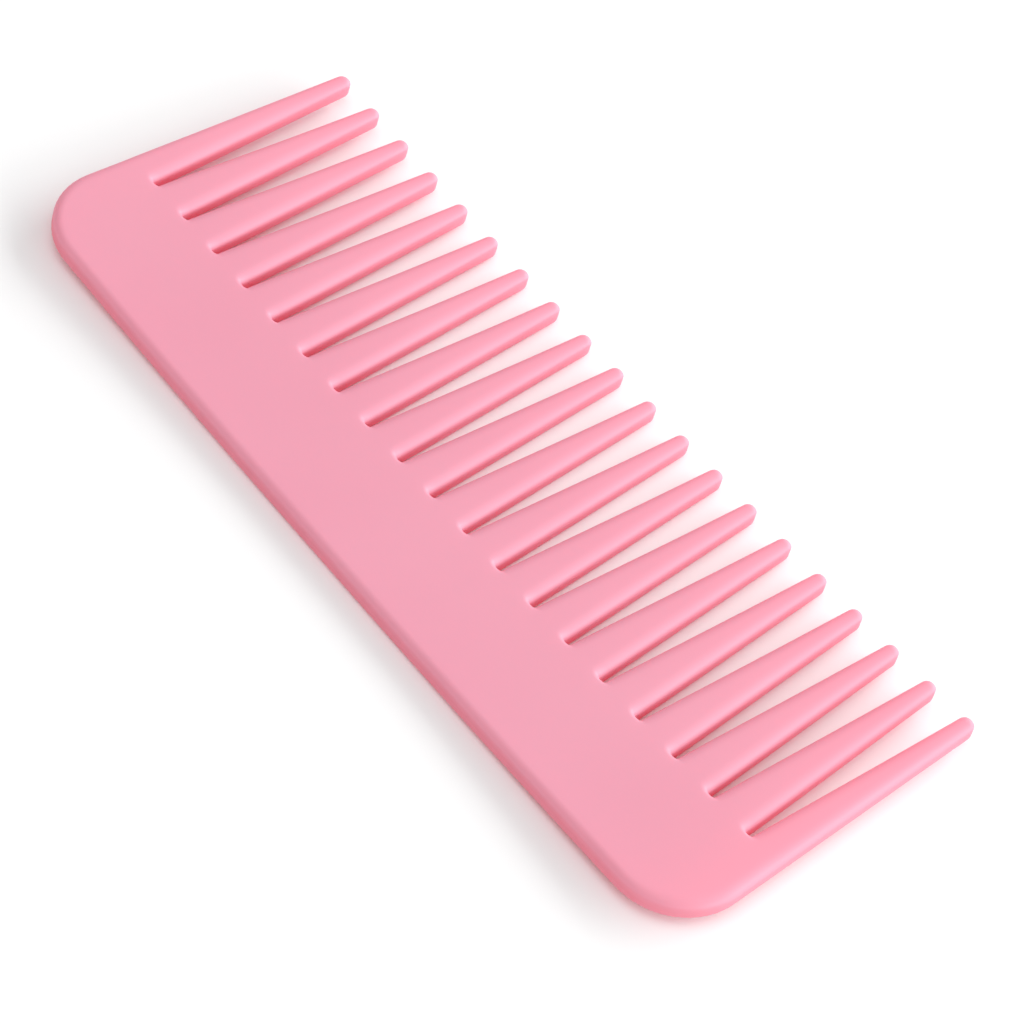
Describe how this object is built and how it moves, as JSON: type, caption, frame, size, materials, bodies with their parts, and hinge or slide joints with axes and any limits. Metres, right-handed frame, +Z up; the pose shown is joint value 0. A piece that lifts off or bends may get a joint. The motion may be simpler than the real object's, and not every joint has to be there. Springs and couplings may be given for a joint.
{
  "type": "wide tooth comb",
  "caption": "One-piece plastic hair comb: a flat bar back with rounded corners and a row of wide-set tapered teeth with blunt tips, slightly arched along its length.",
  "frame": {"origin": "On the surface that the comb lies on, below the middle of its outline", "axes": "X along the comb, +Y from the back to the tips of the teeth, +Z up through its thickness"},
  "size_m": [0.1694, 0.068, 0.0057],
  "materials": {
    "comb_plastic": "satin"
  },
  "bodies": {
    "root": {"back": "comb_plastic", "tooth_01": "comb_plastic", "tooth_02": "comb_plastic", "tooth_03": "comb_plastic", "tooth_04": "comb_plastic", "tooth_05": "comb_plastic", "tooth_06": "comb_plastic", "tooth_07": "comb_plastic", "tooth_08": "comb_plastic", "tooth_09": "comb_plastic", "tooth_10": "comb_plastic", "tooth_11": "comb_plastic", "tooth_12": "comb_plastic", "tooth_13": "comb_plastic", "tooth_14": "comb_plastic", "tooth_15": "comb_plastic", "tooth_16": "comb_plastic", "tooth_17": "comb_plastic", "tooth_18": "comb_plastic", "tooth_19": "comb_plastic", "tooth_20": "comb_plastic"}
  },
  "joints": []
}
